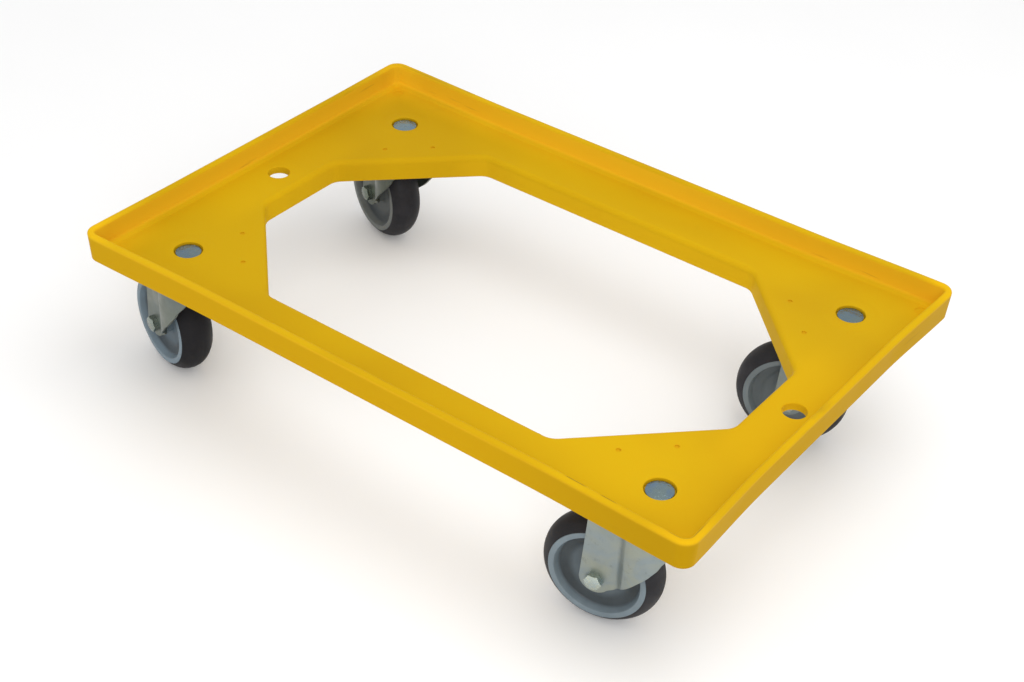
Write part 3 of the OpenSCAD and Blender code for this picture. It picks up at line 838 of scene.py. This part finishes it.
def eased(value, low, high):
    """Smooth rise from 0 at low to 1 at high."""
    t = min(1, max(0, (value - low) / (high - low)))
    return t * t * (3 - 2 * t)


def cut_across(edit, axis, places, both=False):
    """Cuts the mesh by planes across an axis, so that it can be bent there; both mirrors the planes."""
    normal = Vector((axis == "x", axis == "y", axis == "z"))
    for place in places + [-p for p in places] * both:
        geom = edit.verts[:] + edit.edges[:] + edit.faces[:]
        bmesh.ops.bisect_plane(edit, geom=geom, dist=1e-7, plane_co=normal * place, plane_no=normal)


def tarnished(edit, place):
    """Notes on a plated piece its painted shade, darker for the castors further from the light; each castor
    has its own share.
    """
    layer = edit.verts.layers.float.new("tarnish")
    for vert in edit.verts:
        vert[layer] = CASTOR_SHADE[place]


def even_normals(piece):
    """Lets large flat faces keep their own normals beside small rounded ones."""
    even = piece.modifiers.new("even_normals", "WEIGHTED_NORMAL")
    even.weight = 100
    even.keep_sharp = True


# Operators


class DOLLY_OT_deck(bpy.types.Operator):
    """Make the moulded deck with smooth rolled edges and give it its satin plastic"""

    bl_idname = "dolly.deck"
    bl_label = "Deck moulding"

    def execute(self, context):
        look = context.scene.dolly_deck
        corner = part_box("deck")[1]
        edit = welded_copy("deck")
        seats = [seat_of(place) for place in PLACES]
        cut_pitch, cuts = 0.012, 14
        wall_from, wall_to, fade_x, fade_y = 0.020, 0.008, 0.15, 0.11

        def on_tow_hole(vert):
            off = min((vert.co.xy - Vector((side * TOW_HOLE_X, 0))).length for side in (-1, 1))
            return abs(vert.co.z) < 1e-5 and abs(off - TOW_HOLE_R) < 5e-5

        rims = [edge for edge in edit.edges if all(on_tow_hole(vert) for vert in edge.verts)]
        bmesh.ops.bevel(edit, geom=rims, offset=look.hole_ease, segments=4, profile=0.5, affect="EDGES")
        for axis, reach in (("x", corner.x), ("y", corner.y)):
            cut_across(edit, axis, [reach - cut_pitch * k for k in range(1, cuts + 1)], both=True)
        mould_place = edit.verts.layers.float_vector.new("mould_place")
        for vert in edit.verts:
            vert[mould_place] = vert.co
            for seat in seats:
                out = vert.co.xy - seat
                past = out.length - RECESS_R
                if -0.0002 < past < 0.0012 and vert.co.z > -RECESS_DEPTH - 0.0002:
                    vert.co.xy = seat + out.normalized() * (RECESS_R - 0.0002 + past * look.lip_share)
            x, y = vert.co.x, vert.co.y
            near_end = eased(abs(x), corner.x - wall_from, corner.x - wall_to)
            near_side = eased(abs(y), corner.y - wall_from, corner.y - wall_to)
            waist = look.waist_left if x < 0 else look.waist_right
            draw_x = waist * near_end * (1 - eased(abs(y), corner.y - fade_y, corner.y))
            draw_y = look.waist_sides * near_side * (1 - eased(abs(x), corner.x - fade_x, corner.x))
            vert.co.x -= math.copysign(draw_x, x)
            vert.co.y -= math.copysign(draw_y, y)
        shade_by_angle(edit, 34)
        piece = piece_from(edit, "deck_moulding", "yellow_moulding", "deck_frame", "deck")
        even_normals(piece)
        return {"FINISHED"}


class DOLLY_OT_tyres(bpy.types.Operator):
    """Turn the four soft tyres with their strongly rounded tread"""

    bl_idname = "dolly.tyres"
    bl_label = "Tyres"

    def execute(self, context):
        look = context.scene.dolly_castor
        low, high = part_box("tyre_front_left")
        radius = (high.z - low.z) / 2
        half, shoulder, foot, foot_half = 0.016, 0.009, 0.038, 0.0128
        spans, mould_line, end_drop, end_draw = 20, 0.00012, 0.0002, 0.0003
        bead = [(0.0408, 0.0143), (0.04105, 0.0155)]
        tread = []
        for k in range(-spans, spans + 1):
            q = k / spans
            beside_line = mould_line if abs(k) > 1 else 0.0
            tread.append((radius - beside_line - shoulder * abs(q) ** look.tread_power, half * q))
        for end, inward in ((0, 1), (-1, -1)):
            r, h = tread[end]
            tread[end] = (r + end_drop, h + inward * end_draw)
        profile = [(foot, foot_half), (foot, -foot_half)] + [(r, -h) for r, h in bead] + tread + bead[::-1]
        for place in PLACES:
            edit = turned(profile, look.steps, axle_matrix(place))
            body, node = "castor_wheel_" + place, "tyre_" + place
            finish = "shaded_tyre" if place == SHADED_TYRE else "soft_tyre"
            piece_from(edit, "soft_tyre_" + place, finish, body, node)
        return {"FINISHED"}


class DOLLY_OT_hubs(bpy.types.Operator):
    """Turn the four moulded hubs with their bright ring and dished web"""

    bl_idname = "dolly.hubs"
    bl_label = "Hubs"

    def execute(self, context):
        look = context.scene.dolly_castor
        # One side, from the tyre's seat over the ring and the dish to the bore: radius, height, ease.
        side = [
            (0.0380, 0.0129, 0.0),
            (0.0407, 0.0144, 0.0003),
            (0.0410, 0.0160, 0.0006),
            (0.0362, 0.0160, 0.0006),
            (0.0345, 0.0112, 0.0012),
            (0.0336, 0.0096, 0.0012),
            (0.0272, 0.0084, 0.0016),
            (0.0238, 0.0066, 0.0016),
            (0.0150, 0.0052, 0.0014),
            (0.0124, 0.0070, 0.0012),
            (0.0112, 0.0166, 0.0006),
            (0.00606, 0.0166, 0.0002),
        ]
        whole = side + [(r, -h, ease) for r, h, ease in reversed(side)]
        profile = rounded([(r, h) for r, h, ease in whole], [ease for r, h, ease in whole])

        def dirt_and_dish_shade(radius):
            """Painted shade in the dish, thinner on its inner half and none on the ring or the boss."""
            thinner = 1 - 0.50 * eased(0.0285 - radius, 0.0, 0.0070)
            return eased(0.0352 - radius, 0.0, 0.0020) * eased(radius, 0.008, 0.013) * thinner

        for place in PLACES:
            notes = (
                ("painted_dish_shade", lambda r, h: HUB_DISH_SHADE[place] * dirt_and_dish_shade(r)),
                ("weathered", lambda r, h: WEATHER[place]),
            )
            edit = turned(profile, look.steps, axle_matrix(place), notes)
            body, node = "castor_wheel_" + place, "hub_" + place
            piece_from(edit, "moulded_hub_" + place, "blue_grey_hub", body, node)
        return {"FINISHED"}


def swell(value, middle, half):
    """Soft hump of height 1 that reaches half to each side of the middle."""
    return max(0, 1 - ((value - middle) / half) ** 2) ** 2


def edge_lift(x, z):
    """How far the lower edge of the fork's skirt rises, so that it runs nearly straight down to the leg."""
    up = 0.0039 * eased(x, -0.0165, -0.009) * (1 - eased(x, -0.003, 0.016))
    return eased(-z, 0.018, 0.040) * (up - 0.0029 * swell(x, 0.0205, 0.008))


def skirt_place(x, y, z):
    """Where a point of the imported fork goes, in the frame of its seat.

    The flat skirt turns round below the crown and meets the legs in a soft step.
    """
    crown, flat, round_r, leg, sheet = 0.034, 0.026, 0.0295, 0.0195, 0.0025
    step, race_r, legs_half = (0.015, 0.021), 0.022, 0.014
    side, wide, radius = math.copysign(1, y), abs(y), math.hypot(x, y)
    below = eased(-z, 0.008, 0.022)
    on_race, between_legs, on_leg = radius < race_r, wide < legs_half and x > 0, x > step[1] + 0.003
    if on_race or between_legs or on_leg:
        return x, y, z
    if x < 0:
        angle = math.degrees(math.atan2(wide, -x))
        depth = min(crown, flat / max(0.01, math.sin(math.radians(angle)))) - radius
        ahead = 13 * eased(z, -0.038, -0.025) * eased(-z, 0.008, 0.024)
        angle -= ahead * eased(angle, 12, 50) * (1 - eased(angle, 58, 88))
        turn = math.radians(angle)
        outer = min(crown, flat / max(0.01, math.sin(turn)))
        radius = outer + below * (round_r - outer) - depth
        return -radius * math.cos(turn), side * radius * math.sin(turn), z
    share = min(1, max(0, (x - step[0]) / (step[1] - step[0])))
    inset = min(1, max(0, (x - step[0] + 0.0011) / (step[1] - step[0])))
    was_out = flat + (leg - flat) * share
    was_in = flat - sheet + (leg - flat) * inset
    through = min(1, max(0, (was_out - wide) / max(1e-6, was_out - was_in)))
    skirt = flat + below * (math.sqrt(max(0, round_r ** 2 - x ** 2)) - flat)
    now = skirt + (leg - skirt) * eased(x, step[0] - 0.002, step[1] + 0.002)
    return x, side * (now - sheet * through), z


class DOLLY_OT_forks(bpy.types.Operator):
    """Make the pressed forks with eased edges and soft bends"""

    bl_idname = "dolly.forks"
    bl_label = "Forks"

    def execute(self, context):
        over_skirt = [-0.033 + 0.0025 * k for k in range(18)]
        over_step = [0.0120 + 0.0007 * k for k in range(24)]
        down_skirt = [-0.009 - 0.0025 * k for k in range(14)]
        for place in PLACES:
            body, node = "castor_fork_" + place, "fork_" + place
            seat = seat_matrix(place)
            edit = welded_copy(node)
            bmesh.ops.transform(edit, matrix=seat.inverted(), verts=edit.verts)
            cut_across(edit, "x", over_skirt + over_step)
            cut_across(edit, "z", down_skirt)
            for vert in edit.verts:
                vert.co = skirt_place(*vert.co)
                vert.co.z += edge_lift(vert.co.x, vert.co.z)
            bmesh.ops.transform(edit, matrix=seat, verts=edit.verts)
            shade_by_angle(edit, 30)
            tarnished(edit, place)
            piece = piece_from(edit, "pressed_fork_" + place, "plated_pressing", body, node)
            even_normals(piece)
        return {"FINISHED"}


class DOLLY_OT_fasteners(bpy.types.Operator):
    """Make the domed castor bolts and the hexagon bolts and nuts of the axles"""

    bl_idname = "dolly.fasteners"
    bl_label = "Fasteners"

    def execute(self, context):
        look = context.scene.dolly_castor
        seats = {place: seat_of(place) for place in PLACES}
        packed_edge, packed_dome, shank_r = 0.0010, 0.0024, 0.011
        for node in ("castor_bolts", "castor_washers", "castor_nuts"):
            edit = welded_copy(node)
            layer = edit.verts.layers.float.new("tarnish")
            # A darker tone for each castor's bolt head, washer and nut.
            for vert in edit.verts:
                place = min(PLACES, key=lambda name: (vert.co.xy - seats[name]).length)
                vert[layer] = HEAD_DARKENING[place]
                out, up = vert.co.xy - seats[place], vert.co.z + RECESS_DEPTH
                if node == "castor_bolts" and (up > 1e-5 or out.length > shank_r):
                    vert.co.xy = seats[place] + out * look.head_share
                if node == "castor_bolts" and up > 1e-5:
                    vert.co.z = look.head_edge + max(0, up - packed_edge) / packed_dome * look.head_dome
            shade_by_angle(edit, 30)
            piece_from(edit, "plated_" + node, "plated_fastener", "deck_frame", node)
        for place in PLACES:
            for kind in ("axle_bolt_", "axle_nut_"):
                body, node = "castor_fork_" + place, kind + place
                edit = welded_copy(node)
                shade_by_angle(edit, 30)
                tarnished(edit, place)
                piece_from(edit, "plated_" + node, "plated_axle", body, node)
        return {"FINISHED"}


class DOLLY_OT_swivel_heads(bpy.types.Operator):
    """Finish the caps, cups, hollow rivets, balls and sleeves of the swivel heads"""

    bl_idname = "dolly.swivel_heads"
    bl_label = "Swivel heads"

    def execute(self, context):
        kinds = (
            ("swivel_cap_", "plated_pressing", "deck_frame", "zinc"),
            ("lower_cup_", "plated_pressing", "deck_frame", "zinc"),
            ("king_pin_", "turned_steel", "deck_frame", "steel"),
            ("upper_balls_", "bearing_steel", "deck_frame", "ball_steel"),
            ("lower_balls_", "bearing_steel", "deck_frame", "ball_steel"),
            ("axle_sleeve_", "turned_steel", "castor_fork_", "steel"),
        )
        for place in PLACES:
            for node, finish, body, slot in kinds:
                edit = welded_copy(node + place)
                shade_by_angle(edit, 30)
                rides_on = body + place if body.endswith("_") else body
                piece_from(edit, "finished_" + node + place, finish, rides_on, node + place)
        return {"FINISHED"}


class DOLLY_OT_studio(bpy.types.Operator):
    """Lay the plain floor, hang the soft lights and set the camera at the photograph's angle"""

    bl_idname = "dolly.studio"
    bl_label = "Studio"

    def execute(self, context):
        look = context.scene.dolly_studio
        ground = cad_box[0].z
        edit = bmesh.new()
        bmesh.ops.create_grid(edit, x_segments=8, y_segments=8, size=9.0)
        bmesh.ops.translate(edit, verts=edit.verts, vec=(0, 0, ground))
        mesh = bpy.data.meshes.new("studio_floor")
        edit.to_mesh(mesh)
        edit.free()
        mesh.materials.append(finish_named("plain_floor"))
        floor = bpy.data.objects.new("studio_floor", mesh)
        context.scene.collection.objects.link(floor)

        world = bpy.data.worlds.new("studio_sky")
        world.use_nodes = True
        sky = world.node_tree.nodes["Background"]
        sky.inputs["Color"].default_value = (1.0, 1.0, 1.0, 1)
        sky.inputs["Strength"].default_value = look.sky
        context.scene.world = world

        lamp_width = 0.9
        lamps = (
            ("key_softbox", (0.98, -1.36, 0.95), look.key),
            ("top_softbox", (0.5, -0.1, 1.3), look.key * 0.6),
        )
        for name, place, power in lamps:
            lamp = bpy.data.lights.new(name, "AREA")
            lamp.shape, lamp.size, lamp.energy = "SQUARE", lamp_width, power
            carrier = bpy.data.objects.new(name, lamp)
            carrier.location = place
            carrier.rotation_euler = (-Vector(place)).to_track_quat("-Z", "Y").to_euler()
            context.scene.collection.objects.link(carrier)

        camera = bpy.data.cameras.new("photo_camera")
        camera.sensor_width = 36
        camera.lens = look.lens
        camera.clip_start, camera.clip_end = 0.01, 50
        holder = bpy.data.objects.new("photo_camera", camera)
        holder.location = look.camera_place
        holder.rotation_euler = look.camera_turn
        context.scene.collection.objects.link(holder)
        context.scene.camera = holder
        context.scene.view_settings.view_transform = "Standard"
        return {"FINISHED"}


class DOLLY_PT_sidebar(bpy.types.Panel):
    bl_label = "Crate dolly"
    bl_idname = "DOLLY_PT_sidebar"
    bl_space_type = "VIEW_3D"
    bl_region_type = "UI"
    bl_category = "Dolly"

    def draw(self, context):
        layout = self.layout
        for step in STEPS:
            layout.operator(step.bl_idname)
        for group in (context.scene.dolly_deck, context.scene.dolly_castor, context.scene.dolly_studio):
            box = layout.box()
            for name in group.__annotations__:
                box.prop(group, name)


GROUPS = (DollyDeckSettings, DollyCastorSettings, DollyStudioSettings)
STEPS = (
    DOLLY_OT_studio,
    DOLLY_OT_deck,
    DOLLY_OT_tyres,
    DOLLY_OT_hubs,
    DOLLY_OT_forks,
    DOLLY_OT_fasteners,
    DOLLY_OT_swivel_heads,
)


def register():
    for kind in GROUPS + STEPS + (DOLLY_PT_sidebar,):
        bpy.utils.register_class(kind)
    bpy.types.Scene.dolly_deck = PointerProperty(type=DollyDeckSettings)
    bpy.types.Scene.dolly_castor = PointerProperty(type=DollyCastorSettings)
    bpy.types.Scene.dolly_studio = PointerProperty(type=DollyStudioSettings)


def unregister():
    for name in ("dolly_studio", "dolly_castor", "dolly_deck"):
        delattr(bpy.types.Scene, name)
    for kind in reversed(GROUPS + STEPS + (DOLLY_PT_sidebar,)):
        bpy.utils.unregister_class(kind)


def main():
    register()
    for step in STEPS:
        group, name = step.bl_idname.split(".")
        getattr(getattr(bpy.ops, group), name)()
    bpy.context.view_layer.update()


if __name__ == "__main__":
    main()
